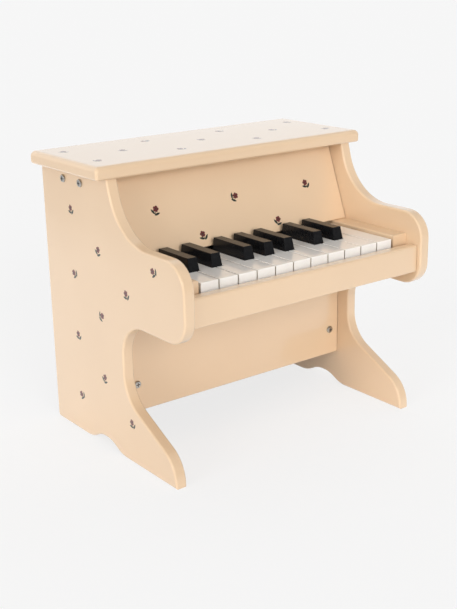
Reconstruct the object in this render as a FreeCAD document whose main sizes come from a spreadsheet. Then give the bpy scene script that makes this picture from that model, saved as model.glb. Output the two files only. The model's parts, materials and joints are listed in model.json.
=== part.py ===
"""Toy upright piano: a lacquered board cabinet, eighteen key levers, hammers and steel tone bars.

Millimetres, +Z up, the player in front at -Y, origin under the middle of the cabinet.
"""
import FreeCAD, Part
import math
import os
import Sketcher

# Driving dimensions, one cell of the sheet each
SIZES = {
    # Keyboard
    "white_pitch": 23.0,
    "key_side_gap": 1.5,
    "end_key_trim": 1.0,
    "key_show_length": 93.5,
    "key_top_height": 202.0,
    "key_thickness": 12.0,
    "key_edge_radius": 0.5,
    "white_head_length": 36.5,
    "black_base_width": 12.5,
    "black_top_width": 10.8,
    "black_height": 12.8,
    "black_front_lean": 3.0,
    "black_rear_lean": 1.0,
    "black_rear_gap": 2.5,
    "black_edge_radius": 0.75,
    "black_side_gap": 1.2,
    "black_lever_width": 10.4,
    "block_gap": 1.0,
    "block_width": 19.5,
    "block_tail": 10.0,
    "block_edge_radius": 1.5,
    # Cabinet boards
    "cheek_thickness": 12.6,
    "cheek_edge_radius": 2.2,
    "cheek_corner_radius": 4.0,
    "cheek_lip": 22.0,
    "hollow_lean": 17.0,
    "hollow_radius": 63.0,
    "arm_rise": 27.3,
    "arm_drop": 16.5,
    "nose_top_radius": 28.0,
    "nose_under_radius": 26.0,
    "knee_lip": 17.0,
    "knee_radius": 37.0,
    "ankle_height": 68.5,
    "ankle_radius": 40.0,
    "toe_setback": 22.5,
    "toe_height": 25.0,
    "toe_radius": 36.0,
    "rear_foot_length": 74.0,
    "arch_run": 20.0,
    "arch_flat": 20.0,
    "arch_height": 10.0,
    "arch_radius": 36.0,
    "lid_thickness": 13.5,
    "lid_side_overhang": 12.4,
    "lid_front_overhang": 3.2,
    "lid_corner_radius": 3.0,
    "lid_top_radius": 5.5,
    "lid_under_radius": 2.4,
    "upper_panel_height": 83.5,
    "upper_panel_recline": 31.7,
    "upper_panel_run": 9.6,
    "upper_panel_gap": 3.0,
    "lower_panel_setback": 11.5,
    "lower_panel_thickness": 9.0,
    "lower_panel_ground": 40.6,
    "panel_edge_radius": 1.2,
    "panel_side_gap": 0.7,
    "back_panel_thickness": 5.0,
    "slip_setback": 5.4,
    "slip_thickness": 11.2,
    "slip_drop": 7.3,
    "slip_edge_radius": 2.0,
    "slip_key_gap": 5.4,
    "bed_thickness": 12.0,
    "bed_lip": 0.4,
    "key_dip_room": 12.0,
    # Battens, cleats and screws
    "batten_width": 15.0,
    "batten_height": 18.0,
    "batten_length": 84.0,
    "batten_back_gap": 5.0,
    "cleat_width": 20.0,
    "cleat_depth": 20.0,
    "cleat_end_gap": 5.0,
    "screw_head_radius": 4.1,
    "screw_head_height": 2.2,
    "screw_head_round": 1.3,
    "screw_shank_radius": 2.0,
    "screw_bite": 12.0,
    "screw_hole_gap": 0.15,
    "recess_length": 4.4,
    "recess_width": 1.1,
    "recess_depth": 1.3,
    "lid_screw_drop": 10.5,
    "lid_screw_first": 47.0,
    "lid_screw_spacing": 33.7,
    "panel_screw_inset": 13.0,
    "panel_screw_rise": 30.2,
    # Action inside the cabinet
    "running_gap": 0.05,
    "rest_gap": 0.3,
    "key_rod_radius": 2.0,
    "key_rod_rise": 5.5,
    "key_rod_setback": 6.9,
    "rod_end_depth": 13.0,
    "stop_felt_width": 14.0,
    "stop_felt_height": 4.2,
    "stop_felt_setback": 6.0,
    "rest_rail_width": 12.0,
    "rest_rail_gap": 8.0,
    "rest_felt_height": 2.5,
    "tail_overlap": 6.0,
    "spring_thickness": 0.6,
    "spring_foot_length": 10.0,
    "spring_finger_length": 30.0,
    "spring_finger_width": 6.0,
    "spring_setback": 70.0,
    "hammer_rod_radius": 1.5,
    "hammer_rod_rise": 7.0,
    "hammer_rod_setback": 11.0,
    "hammer_width": 8.0,
    "hammer_arm_height": 4.0,
    "hammer_hub_radius": 4.5,
    "heel_radius": 3.0,
    "heel_arm": 26.0,
    "head_radius": 4.0,
    "head_rise": 10.0,
    "head_post_width": 5.0,
    "strike_drift": 4.0,
    "hammer_throw": 11.3,
    "hammer_block_width": 16.0,
    "hammer_block_depth": 16.0,
    "hammer_block_rise": 6.0,
    "bar_front_room": 19.9,
    "bar_back_room": 8.0,
    "longest_bar": 98.0,
    "bar_width": 8.6,
    "bar_thickness": 2.5,
    "bar_rail_width": 8.0,
    "bar_rail_height": 9.0,
    "bar_felt_height": 2.0,
    "bar_hole_radius": 1.5,
    "pin_radius": 1.0,
    "pin_head_radius": 2.2,
    "pin_head_height": 1.0,
    "pin_lift": 0.3,
    "pin_bite": 6.0,
}

# Shares chosen by hand
SEMITONE_SHARE = 0.5 ** (1 / 24)
BAR_NODE_SHARE = 0.276
CAP_ROUND_SHARE = 0.94

# Counts of the keyboard: an octave is a group of three white keys and one of four
SEMITONES = ("c", "cs", "d", "ds", "e", "f", "fs", "g", "gs", "a", "as", "b")
NOTE_COUNT = 18
WHITE_COUNT = 11
OCTAVE_WHITE_COUNT = 7
FIRST_WHITE_COUNT = 3
FIRST_NOTE_COUNT = 5
SECOND_WHITE_COUNT = 4
SECOND_NOTE_COUNT = 7

doc = FreeCAD.newDocument("toy_piano")
sheet = doc.addObject("Spreadsheet::Sheet", "sizes")
for row, (alias, number) in enumerate(SIZES.items(), start=1):
    sheet.set("A%d" % row, alias.replace("_", " "))
    sheet.set("B%d" % row, str(number))
    sheet.setAlias("B%d" % row, alias)
doc.recompute()


class Size:
    """A length held as a formula on the sheet's cells, with its present value."""

    def __init__(self, formula, value):
        self.formula = formula
        self.value = value

    def __add__(self, other):
        return joined(self, "+", other, self.value + value_of(other))

    def __sub__(self, other):
        return joined(self, "-", other, self.value - value_of(other))

    def __mul__(self, other):
        return joined(self, "*", other, self.value * value_of(other))

    def __truediv__(self, other):
        return joined(self, "/", other, self.value / value_of(other))

    def __neg__(self):
        return Size("(0 - %s)" % self.formula, -self.value)


def value_of(item):
    return item.value if isinstance(item, Size) else item


def formula_of(item):
    return item.formula if isinstance(item, Size) else repr(item)


def joined(first, sign, second, value):
    return Size("(%s %s %s)" % (first.formula, sign, formula_of(second)), value)


def smaller(first, second):
    formula = "min(%s; %s)" % (first.formula, second.formula)
    return Size(formula, min(first.value, second.value))


def long_side(run, rise):
    return Size("hypot(%s; %s)" % (run.formula, rise.formula), math.hypot(run.value, rise.value))


def without_sign(size):
    return Size("abs(%s)" % size.formula, abs(size.value))


def cell(alias):
    return Size("sizes." + alias, SIZES[alias])


ZERO = Size("0", 0.0)
pieces = {}


def keep(label, item):
    """Enter a finished sub-part under the name of its file."""
    item.Label = label
    pieces[label] = item
    return item


def bind(item, **properties):
    for name, size in properties.items():
        item.setExpression(name, size.formula)


def set_place(item, x=ZERO, y=ZERO, z=ZERO):
    for axis, size in (("x", x), ("y", y), ("z", z)):
        item.setExpression("Placement.Base." + axis, size.formula)


# Shapes that several pieces share

def board(name, x, y, z):
    """A plain rectangular board between two limits on each axis."""
    box = doc.addObject("Part::Box", name)
    bind(box, Length=x[1] - x[0], Width=y[1] - y[0], Height=z[1] - z[0])
    set_place(box, x[0], y[0], z[0])
    return box


def bar_along(name, direction, radius, length, x, y, z):
    """A round bar that starts at a point and runs along +X or +Z."""
    bar = doc.addObject("Part::Cylinder", name)
    if direction == "X":
        bar.Placement = FreeCAD.Placement(FreeCAD.Vector(), FreeCAD.Rotation(FreeCAD.Vector(0, 1, 0), 90))
    bind(bar, Radius=radius, Height=length)
    set_place(bar, x, y, z)
    return bar


def joined_solid(name, items):
    fuse = doc.addObject("Part::MultiFuse", name)
    fuse.Shapes = items
    fuse.Refine = True
    return fuse


def cut_solid(name, base, tool):
    cut = doc.addObject("Part::Cut", name)
    cut.Base = base
    cut.Tool = tool
    return cut


def group(label, items):
    """Like pieces kept apart from one another in one node."""
    bundle = doc.addObject("Part::Compound", label)
    bundle.Links = items
    return keep(label, bundle)


def new_sketch(body, name, role, lift):
    sketch = body.newObject("Sketcher::SketchObject", name)
    plane = next(item for item in body.Origin.OriginFeatures if item.Role == role)
    sketch.AttachmentSupport = (plane, [""])
    sketch.MapMode = "FlatFace"
    sketch.setExpression("AttachmentOffset.Base.z", lift.formula)
    return sketch


def tie(sketch, kind, target, size):
    index = sketch.addConstraint(Sketcher.Constraint(kind, *target, size.value))
    sketch.setExpression("Constraints[%d]" % index, size.formula)


def polygon(body, name, role, points, lift=ZERO):
    """A closed outline of straight lines whose corners are tied to the sheet."""
    sketch = new_sketch(body, name, role, lift)
    count = len(points)
    corners = [FreeCAD.Vector(u.value, v.value, 0) for u, v in points]
    for index in range(count):
        sketch.addGeometry(Part.LineSegment(corners[index], corners[(index + 1) % count]))
    for index in range(count):
        sketch.addConstraint(Sketcher.Constraint("Coincident", index, 2, (index + 1) % count, 1))
    for index, (u, v) in enumerate(points):
        tie(sketch, "DistanceX", (-1, 1, index, 1), u)
        tie(sketch, "DistanceY", (-1, 1, index, 1), v)
    return sketch


def ring(body, name, role, radius, centre, lift=ZERO):
    sketch = new_sketch(body, name, role, lift)
    middle = FreeCAD.Vector(centre[0].value, centre[1].value, 0)
    sketch.addGeometry(Part.Circle(middle, FreeCAD.Vector(0, 0, 1), radius.value))
    tie(sketch, "Radius", (0,), radius)
    tie(sketch, "DistanceX", (-1, 1, 0, 3), centre[0])
    tie(sketch, "DistanceY", (-1, 1, 0, 3), centre[1])
    return sketch


def rectangle(x, y):
    return [(x[0], y[0]), (x[1], y[0]), (x[1], y[1]), (x[0], y[1])]


def pad(body, name, sketch, length, backwards=False):
    feature = body.newObject("PartDesign::Pad", name)
    feature.Profile = sketch
    feature.Reversed = backwards
    bind(feature, Length=length)
    return feature


def drill(body, name, sketch):
    """Cut a sketch right through the body, both ways."""
    doc.recompute()
    before = body.Shape.Volume
    pocket = body.newObject("PartDesign::Pocket", name)
    pocket.Profile = sketch
    pocket.Type = "ThroughAll"
    pocket.SideType = "Symmetric"
    doc.recompute()
    if body.Shape.Volume >= before:
        raise RuntimeError(name + " cuts nothing")


def edges_where(body, test):
    doc.recompute()
    return ["Edge%d" % number for number, edge in enumerate(body.Shape.Edges, start=1) if test(edge)]


def lies_on(edge, limits):
    """True for an edge that lies wholly on every given plane, such as {"z": 10}."""
    box = edge.BoundBox
    lows = {"x": box.XMin, "y": box.YMin, "z": box.ZMin}
    highs = {"x": box.XMax, "y": box.YMax, "z": box.ZMax}
    near = 1e-4
    return all(abs(lows[axis] - at) < near and abs(highs[axis] - at) < near for axis, at in limits.items())


def joins_heights(edge, under, top):
    """True for an edge that rises from one height to another."""
    box = edge.BoundBox
    near = 1e-4
    return abs(box.ZMin - under.value) < near and abs(box.ZMax - top.value) < near


def soften(body, name, radius, test):
    """Round the edges that pass a test."""
    names = edges_where(body, test)
    if not names:
        raise RuntimeError(name + " finds no edge")
    base = body.Tip
    fillet = body.newObject("PartDesign::Fillet", name)
    fillet.Base = (base, names)
    bind(fillet, Radius=radius)
    doc.recompute()


# Widths, from the keyboard outwards
pitch = cell("white_pitch")
keyboard_half = pitch * WHITE_COUNT / 2
block_inner = keyboard_half + cell("block_gap")
case_inner = block_inner + cell("block_width")
case_outer = case_inner + cell("cheek_thickness")
lid_half = case_outer + cell("lid_side_overhang")
between_cheeks = (-case_inner, case_inner)
keyboard_width = (-keyboard_half, keyboard_half)

# Depths, from the nose of the cheeks back to the back panel
case_depth = (cell("slip_setback") + cell("slip_thickness") + cell("slip_key_gap")
              + cell("key_show_length") + cell("upper_panel_run") + cell("bar_front_room")
              + cell("longest_bar") + cell("bar_back_room") + cell("back_panel_thickness"))
nose = -case_depth / 2
back = case_depth / 2
slip_front = nose + cell("slip_setback")
slip_back = slip_front + cell("slip_thickness")
key_front = slip_back + cell("slip_key_gap")
black_front = key_front + cell("white_head_length")
panel_foot = key_front + cell("key_show_length")
panel_foot_back = panel_foot + cell("upper_panel_run")
panel_top = panel_foot + cell("upper_panel_recline")
back_inner = back - cell("back_panel_thickness")
lower_front = panel_foot + cell("lower_panel_setback")
lower_back = lower_front + cell("lower_panel_thickness")
bar_middle = panel_foot_back + cell("bar_front_room") + cell("longest_bar") / 2
key_rod_y = panel_foot_back + cell("key_rod_setback")
hammer_rod_y = back_inner - cell("hammer_rod_setback")
heel_y = hammer_rod_y - cell("heel_arm")
head_y = bar_middle - cell("strike_drift")
tail_end = heel_y + cell("tail_overlap")

# Heights, from the floor up
key_top = cell("key_top_height")
key_under = key_top - cell("key_thickness")
bed_top = key_under - cell("key_dip_room")
bed_under = bed_top - cell("bed_thickness")
slip_top = key_top - cell("slip_drop")
slip_under = bed_under - cell("bed_lip")
panel_under = key_top + cell("upper_panel_gap")
lid_under = panel_under + cell("upper_panel_height")
lid_top = lid_under + cell("lid_thickness")
key_rod_z = key_under + cell("key_rod_rise")
hammer_rod_z = key_top + cell("hammer_rod_rise")
heel_z = key_top + cell("rest_gap") + cell("heel_radius")
head_z = hammer_rod_z + cell("head_rise")
bar_under = head_z + cell("head_radius") + cell("hammer_throw")
bar_top = bar_under + cell("bar_thickness")
bar_felt_under = bar_under - cell("bar_felt_height")
bar_rail_under = bar_felt_under - cell("bar_rail_height")

# Screw places
lid_screw_z = lid_under - cell("lid_screw_drop")
lid_screw_back_y = back - cell("lid_screw_first")
lid_screw_places = (lid_screw_back_y, lid_screw_back_y - cell("lid_screw_spacing"))
panel_screw_x = case_inner - cell("panel_screw_inset")
panel_screw_z = cell("lower_panel_ground") + cell("panel_screw_rise")
screw_hole = cell("screw_shank_radius") + cell("screw_hole_gap")


# Cheeks: two shaped side boards with arms, knee hollows and toes

arm_top = key_top + cell("arm_rise")
arm_under = slip_under - cell("arm_drop")
cheek_front = panel_top - cell("cheek_lip")
knee = lower_front - cell("knee_lip")
toe = nose + cell("toe_setback")
rear_foot = back - cell("rear_foot_length")
arch_back = rear_foot - cell("arch_run")
arch_front = arch_back - cell("arch_flat")
front_foot = arch_front - cell("arch_run")
hollow_foot = cheek_front - cell("hollow_lean")

# Corners in turn, each with a radius and the shares of the sides beside it that its round may take
PLAIN_SHARES = (0.45, 0.45)
HOLLOW_SHARES = (0.92, 0.6)
NOSE_TOP_SHARES = (0.38, 0.5)
NOSE_UNDER_SHARES = (0.48, 0.35)
KNEE_SHARES = (0.62, 0.6)
ANKLE_SHARES = (0.38, 0.45)
TOE_SHARES = (0.5, 0.92)
CHEEK_CORNERS = [
    ((back, ZERO), cell("cheek_corner_radius"), PLAIN_SHARES),
    ((back, lid_under), None, None),
    ((cheek_front, lid_under), None, None),
    ((hollow_foot, arm_top), cell("hollow_radius"), HOLLOW_SHARES),
    ((nose, arm_top), cell("nose_top_radius"), NOSE_TOP_SHARES),
    ((nose, arm_under), cell("nose_under_radius"), NOSE_UNDER_SHARES),
    ((knee, arm_under), cell("knee_radius"), KNEE_SHARES),
    ((knee, cell("ankle_height")), cell("ankle_radius"), ANKLE_SHARES),
    ((toe, cell("toe_height")), cell("toe_radius"), TOE_SHARES),
    ((toe, ZERO), None, None),
    ((front_foot, ZERO), cell("arch_radius"), PLAIN_SHARES),
    ((arch_front, cell("arch_height")), cell("arch_radius"), PLAIN_SHARES),
    ((arch_back, cell("arch_height")), cell("arch_radius"), PLAIN_SHARES),
    ((rear_foot, ZERO), cell("arch_radius"), PLAIN_SHARES),
]


def round_within(number):
    """The radius of a corner, limited by what its two sides leave room for."""
    corner, radius, shares = CHEEK_CORNERS[number]
    before = CHEEK_CORNERS[number - 1][0]
    after = CHEEK_CORNERS[(number + 1) % len(CHEEK_CORNERS)][0]
    come = [end - start for start, end in zip(before, corner)]
    leave = [end - start for start, end in zip(corner, after)]
    come_side = long_side(*come)
    leave_side = long_side(*leave)
    turn = without_sign(come[0] * leave[1] - come[1] * leave[0])
    straight = come_side * leave_side + come[0] * leave[0] + come[1] * leave[1]
    room = smaller(come_side * shares[0], leave_side * shares[1])
    return smaller(radius, room * straight / turn)


def make_cheek(label, inner_x):
    body = doc.addObject("PartDesign::Body", label)
    set_place(body, x=inner_x)
    side = polygon(body, label + "_side", "YZ_Plane", [corner for corner, radius, shares in CHEEK_CORNERS])
    pad(body, label + "_board", side, cell("cheek_thickness"))
    for number, (corner, radius, shares) in enumerate(CHEEK_CORNERS):
        if radius is not None:
            place = {"y": corner[0].value, "z": corner[1].value}
            soften(body, "%s_corner_%d" % (label, number), round_within(number),
                   lambda edge: lies_on(edge, place))
    faces = (inner_x.value, inner_x.value + cell("cheek_thickness").value)
    soften(body, label + "_edges", cell("cheek_edge_radius"),
           lambda edge: any(lies_on(edge, {"x": face}) for face in faces)
           and not lies_on(edge, {"z": lid_under.value}))
    for number, place in enumerate(lid_screw_places):
        hole = ring(body, "%s_hole_%d" % (label, number), "YZ_Plane", screw_hole, (place, lid_screw_z))
        drill(body, "%s_screw_hole_%d" % (label, number), hole)
    return keep(label, body)


make_cheek("left_cheek", -case_outer)
make_cheek("right_cheek", case_inner)


# Lid: one board over the cheeks, with softly rounded edges

def rounded_board(label, x, y, z, rounds):
    """A board with some edges rounded: rounds is a list of name, radius and the edges' planes."""
    body = doc.addObject("PartDesign::Body", label)
    plan = polygon(body, label + "_plan", "XY_Plane", rectangle(x, y), lift=z[0])
    pad(body, label + "_board", plan, z[1] - z[0])
    for name, radius, planes in rounds:
        values = [{axis: size.value for axis, size in plane.items()} for plane in planes]
        soften(body, "%s_%s" % (label, name), radius,
               lambda edge: any(lies_on(edge, plane) for plane in values))
    return keep(label, body)


lid_front = cheek_front - cell("lid_front_overhang")
rounded_board(
    "lid", (-lid_half, lid_half), (lid_front, back), (lid_under, lid_top),
    [("corners", cell("lid_corner_radius"),
      [{"x": x, "y": y} for x in (-lid_half, lid_half) for y in (lid_front, back)]),
     ("top_edges", cell("lid_top_radius"), [{"z": lid_top}]),
     ("under_edges", cell("lid_under_radius"), [{"z": lid_under}])])


# Front and back boards between the cheeks, those in front with a narrow gap at each side

panel_half = case_inner - cell("panel_side_gap")


def make_upper_panel():
    body = doc.addObject("PartDesign::Body", "upper_front_panel")
    set_place(body, x=-panel_half)
    run = cell("upper_panel_run")
    side = polygon(body, "upper_panel_side", "YZ_Plane",
                   [(panel_foot, panel_under), (panel_foot + run, panel_under),
                    (panel_top + run, lid_under), (panel_top, lid_under)])
    pad(body, "upper_panel_board", side, panel_half * 2)
    soften(body, "upper_panel_foot", cell("panel_edge_radius"),
           lambda edge: lies_on(edge, {"y": panel_foot.value, "z": panel_under.value}))
    keep("upper_front_panel", body)


make_upper_panel()

lower_under = cell("lower_panel_ground")
lower_panel = rounded_board(
    "lower_front_panel", (-panel_half, panel_half), (lower_front, lower_back), (lower_under, bed_under),
    [("foot", cell("panel_edge_radius"), [{"y": lower_front, "z": lower_under}])])
for number, x in enumerate((-panel_screw_x, panel_screw_x)):
    hole = ring(lower_panel, "panel_hole_%d" % number, "XZ_Plane", screw_hole, (x, panel_screw_z))
    drill(lower_panel, "panel_screw_hole_%d" % number, hole)

keep("back_panel", board("back_panel", between_cheeks, (back_inner, back), (lower_under, lid_under)))

rounded_board(
    "key_slip", (-panel_half, panel_half), (slip_front, slip_back), (slip_under, slip_top),
    [("front_edge", cell("slip_edge_radius"), [{"y": slip_front, "z": slip_top}]),
     ("other_edges", cell("panel_edge_radius"),
      [{"y": slip_back, "z": slip_top}, {"y": slip_front, "z": slip_under}])])

keep("key_bed", board("key_bed", between_cheeks, (slip_back, back_inner), (bed_under, bed_top)))


# Key blocks: one at each end of the keyboard, carrying the ends of the key rod

def make_key_block(name, x, open_side):
    body = doc.addObject("PartDesign::Body", name)
    rear = key_rod_y + cell("block_tail")
    plan = polygon(body, name + "_plan", "XY_Plane", rectangle(x, (key_front, rear)), lift=bed_top)
    pad(body, name + "_board", plan, panel_under - bed_top)
    edges = [{"y": key_front.value, "z": panel_under.value}, {"x": open_side.value, "z": panel_under.value}]
    soften(body, name + "_edges", cell("block_edge_radius"),
           lambda edge: any(lies_on(edge, plane) for plane in edges))
    bore = ring(body, name + "_bore", "YZ_Plane", cell("key_rod_radius") + cell("running_gap"),
                (key_rod_y, key_rod_z))
    drill(body, name + "_rod_hole", bore)
    return body


group("key_blocks", [make_key_block("left_key_block", (-case_inner, -block_inner), -block_inner),
                     make_key_block("right_key_block", (block_inner, case_inner), block_inner)])

rod_half = block_inner + cell("rod_end_depth")
keep("key_rod", bar_along("key_rod", "X", cell("key_rod_radius"), rod_half * 2,
                          -rod_half, key_rod_y, key_rod_z))


# Felts and rail under the keys

stop_y = key_front + cell("stop_felt_setback")
keep("key_stop_felt", board("key_stop_felt", keyboard_width, (stop_y, stop_y + cell("stop_felt_width")),
                            (bed_top, bed_top + cell("stop_felt_height"))))
rest_back = heel_y - cell("rest_rail_gap")
rest_y = (rest_back - cell("rest_rail_width"), rest_back)
rest_felt_top = key_under - cell("rest_gap")
rest_felt_under = rest_felt_top - cell("rest_felt_height")
keep("key_rest_rail", board("key_rest_rail", keyboard_width, rest_y, (bed_top, rest_felt_under)))
keep("key_rest_felt", board("key_rest_felt", keyboard_width, rest_y, (rest_felt_under, rest_felt_top)))


# Keys: wooden levers on one rod, white ones notched round the black ones

def white_left(index):
    return pitch * index - keyboard_half


def note_place(number):
    """Semitone in the octave, and the x at which its octave starts."""
    octave, semitone = divmod(number, len(SEMITONES))
    return semitone, white_left(octave * OCTAVE_WHITE_COUNT)


def lane_centre(number):
    """Middle of a note's lane where the levers of a group share its width evenly."""
    semitone, start = note_place(number)
    if semitone < FIRST_NOTE_COUNT:
        lane = pitch * FIRST_WHITE_COUNT / FIRST_NOTE_COUNT
        return start + lane * (semitone + 0.5)
    lane = pitch * SECOND_WHITE_COUNT / SECOND_NOTE_COUNT
    return start + pitch * FIRST_WHITE_COUNT + lane * (semitone - FIRST_NOTE_COUNT + 0.5)


def note_name(number):
    return SEMITONES[number % len(SEMITONES)] + str(number // len(SEMITONES) + 1)


def is_black(number):
    return 0 <= number < NOTE_COUNT and SEMITONES[number % len(SEMITONES)].endswith("s")


key_bore = cell("key_rod_radius") + cell("running_gap")
notch_half = cell("black_base_width") / 2 + cell("black_side_gap")
notch_front = black_front - cell("black_side_gap")


def bore_key(body, label):
    drill(body, label + "_pivot", ring(body, label + "_bore", "YZ_Plane", key_bore, (key_rod_y, key_rod_z)))


def make_white_key(number, index):
    """One white key; returns the middle of its tail."""
    label = "white_key_" + note_name(number)
    half_gap = cell("key_side_gap") / 2
    left = white_left(index) + half_gap
    right = white_left(index + 1) - half_gap
    if index == 0:
        left = left + cell("end_key_trim")
    if index == WHITE_COUNT - 1:
        right = right - cell("end_key_trim")
    tail_left = left
    tail_right = right
    points = [(left, key_front), (right, key_front)]
    if is_black(number + 1):
        tail_right = lane_centre(number + 1) - notch_half
        points += [(right, notch_front), (tail_right, notch_front)]
    points += [(tail_right, tail_end)]
    if is_black(number - 1):
        tail_left = lane_centre(number - 1) + notch_half
        points += [(tail_left, tail_end), (tail_left, notch_front), (left, notch_front)]
    else:
        points += [(tail_left, tail_end)]
    body = doc.addObject("PartDesign::Body", label)
    plan = polygon(body, label + "_plan", "XY_Plane", points, lift=key_under)
    pad(body, label + "_stick", plan, cell("key_thickness"))
    front = key_front.value
    soften(body, label + "_edges", cell("key_edge_radius"),
           lambda edge: lies_on(edge, {"z": key_top.value})
           or lies_on(edge, {"x": left.value, "y": front})
           or lies_on(edge, {"x": right.value, "y": front}))
    bore_key(body, label)
    keep(label, body)
    return (tail_left + tail_right) / 2


def make_black_key(number):
    """One black key, a lever under a tapered cap; returns the middle of its tail."""
    label = "black_key_" + note_name(number)
    middle = lane_centre(number)
    lever_half = cell("black_lever_width") / 2
    foot_half = cell("black_base_width") / 2
    crown_half = cell("black_top_width") / 2
    rear = panel_foot - cell("black_rear_gap")
    body = doc.addObject("PartDesign::Body", label)
    lever = polygon(body, label + "_plan", "XY_Plane",
                    rectangle((middle - lever_half, middle + lever_half), (black_front, tail_end)),
                    lift=key_under)
    pad(body, label + "_stick", lever, cell("key_thickness"))
    foot = polygon(body, label + "_foot", "XY_Plane",
                   rectangle((middle - foot_half, middle + foot_half), (black_front, rear)), lift=key_top)
    crown_top = key_top + cell("black_height")
    crown = polygon(body, label + "_crown", "XY_Plane",
                    rectangle((middle - crown_half, middle + crown_half),
                              (black_front + cell("black_front_lean"), rear - cell("black_rear_lean"))),
                    lift=crown_top)
    cap = body.newObject("PartDesign::AdditiveLoft", label + "_cap")
    cap.Profile = foot
    cap.Sections = [crown]
    cap.Ruled = True
    cap_round = smaller(cell("black_edge_radius"), (foot_half - lever_half) * CAP_ROUND_SHARE)
    soften(body, label + "_edges", cap_round,
           lambda edge: lies_on(edge, {"z": crown_top.value}) or joins_heights(edge, key_top, crown_top))
    bore_key(body, label)
    keep(label, body)
    return middle


tail_middles = []
white_index = 0
for number in range(NOTE_COUNT):
    if is_black(number):
        tail_middles.append(make_black_key(number))
    else:
        tail_middles.append(make_white_key(number, white_index))
        white_index += 1


# Return spring: one steel comb on the key bed with a finger under each lever

def make_spring_comb():
    leaf = cell("spring_thickness")
    foot_front = key_front + cell("spring_setback")
    foot_back = foot_front + cell("spring_foot_length")
    tip = foot_front - cell("spring_finger_length")
    tip_top = key_under - cell("rest_gap")
    finger_half = cell("spring_finger_width") / 2
    strips = [board("spring_foot", keyboard_width, (foot_front, foot_back), (bed_top, bed_top + leaf))]
    for number, middle in enumerate(tail_middles):
        finger = doc.addObject("PartDesign::Body", "spring_finger_%d" % number)
        set_place(finger, x=middle - finger_half)
        side = polygon(finger, "spring_side_%d" % number, "YZ_Plane",
                       [(foot_back, bed_top), (foot_back, bed_top + leaf), (foot_front, bed_top + leaf),
                        (tip, tip_top), (tip, tip_top - leaf), (foot_front, bed_top)])
        pad(finger, "spring_leaf_%d" % number, side, cell("spring_finger_width"))
        strips.append(finger)
    keep("key_spring_comb", joined_solid("key_spring_comb", strips))


make_spring_comb()


# Hammers: moulded levers on their own rod, lifted by the tails of the keys

def make_hammer(number, middle):
    label = "hammer_" + note_name(number)
    width = cell("hammer_width")
    left = middle - width / 2
    right = middle + width / 2
    arm_half = cell("hammer_arm_height") / 2
    post_half = cell("head_post_width") / 2
    arm = board(label + "_arm", (left, right), (head_y - post_half, hammer_rod_y),
                (hammer_rod_z - arm_half, hammer_rod_z + arm_half))
    post = board(label + "_post", (left, right), (head_y - post_half, head_y + post_half),
                 (hammer_rod_z, head_z))
    hub = bar_along(label + "_hub", "X", cell("hammer_hub_radius"), width, left, hammer_rod_y, hammer_rod_z)
    heel = bar_along(label + "_heel", "X", cell("heel_radius"), width, left, heel_y, heel_z)
    head = bar_along(label + "_head", "X", cell("head_radius"), width, left, head_y, head_z)
    whole = joined_solid(label + "_whole", [arm, post, hub, heel, head])
    bore = bar_along(label + "_bore", "X", cell("hammer_rod_radius") + cell("running_gap"), width,
                     left, hammer_rod_y, hammer_rod_z)
    keep(label, cut_solid(label, whole, bore))


for number, middle in enumerate(tail_middles):
    make_hammer(number, middle)

keep("hammer_rod", bar_along("hammer_rod", "X", cell("hammer_rod_radius"), rod_half * 2,
                             -rod_half, hammer_rod_y, hammer_rod_z))


def make_hammer_block(name, x):
    depth_half = cell("hammer_block_depth") / 2
    block = board(name + "_whole", x, (hammer_rod_y - depth_half, hammer_rod_y + depth_half),
                  (bed_top, hammer_rod_z + cell("hammer_block_rise")))
    bore = bar_along(name + "_bore", "X", cell("hammer_rod_radius") + cell("running_gap"),
                     cell("hammer_block_width"), x[0], hammer_rod_y, hammer_rod_z)
    return cut_solid(name, block, bore)


hammer_block_inner = case_inner - cell("hammer_block_width")
group("hammer_blocks", [make_hammer_block("left_hammer_block", (-case_inner, -hammer_block_inner)),
                        make_hammer_block("right_hammer_block", (hammer_block_inner, case_inner))])


# Tone bars: steel bars pinned at their still points on two felted rails

def bar_length(number):
    return cell("longest_bar") * SEMITONE_SHARE ** number


def make_bar(number, middle):
    name = "tone_bar_%d" % number
    length = bar_length(number)
    width_half = cell("bar_width") / 2
    blank = board(name + "_blank", (middle - width_half, middle + width_half),
                  (bar_middle - length / 2, bar_middle + length / 2), (bar_under, bar_top))
    holes = [bar_along("%s_hole_%d" % (name, index), "Z", cell("bar_hole_radius"), cell("bar_thickness"),
                       middle, place, bar_under)
             for index, place in enumerate(node_places(number))]
    return cut_solid(name, blank, joined_solid(name + "_holes", holes))


def node_places(number):
    reach = bar_length(number) * BAR_NODE_SHARE
    return bar_middle - reach, bar_middle + reach


def make_pin(name, x, y):
    shank_under = bar_felt_under - cell("pin_bite")
    head_under = bar_top + cell("pin_lift")
    shank = bar_along(name + "_shank", "Z", cell("pin_radius"), head_under - shank_under, x, y, shank_under)
    head = bar_along(name + "_head", "Z", cell("pin_head_radius"), cell("pin_head_height"), x, y, head_under)
    return joined_solid(name, [shank, head])


group("tone_bars", [make_bar(number, middle) for number, middle in enumerate(tail_middles)])
group("tone_bar_pins", [make_pin("pin_%d_%d" % (number, side), middle, place)
                        for number, middle in enumerate(tail_middles)
                        for side, place in enumerate(node_places(number))])

first_x = tail_middles[0]
last_x = tail_middles[-1]


def rail_line(side, x):
    """The y of a rail at x, on the line through the still points of the outer bars."""
    first_y = node_places(0)[side]
    last_y = node_places(NOTE_COUNT - 1)[side]
    return first_y + (x - first_x) * (last_y - first_y) / (last_x - first_x)


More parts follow.
